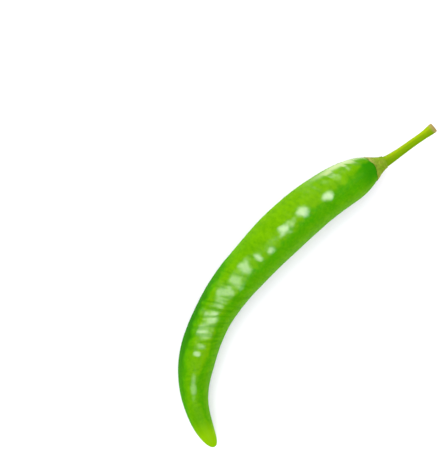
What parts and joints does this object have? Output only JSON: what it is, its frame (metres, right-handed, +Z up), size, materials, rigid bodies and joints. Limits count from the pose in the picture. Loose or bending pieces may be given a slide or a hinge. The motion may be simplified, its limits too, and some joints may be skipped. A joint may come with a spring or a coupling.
{
  "type": "chilli pepper",
  "caption": "Fresh green chilli pepper lying on its side: a long glossy pod that bends towards a pointed tip, with a small tan calyx and a curved, cut stem.",
  "frame": {"origin": "on the surface that the pepper lies on, under the middle of its bounding box", "axes": "+X from the tip towards the stem, +Y towards the outside of the bend, +Z up"},
  "size_m": [0.1182, 0.0314, 0.0145],
  "materials": {
    "pod_skin": "waxy, glossy plant skin",
    "calyx": "dry, matte plant tissue",
    "stem": "satin, faintly ribbed plant stem"
  },
  "bodies": {
    "root": {"pod": "pod_skin", "calyx": "calyx", "stem": "stem"}
  },
  "joints": []
}
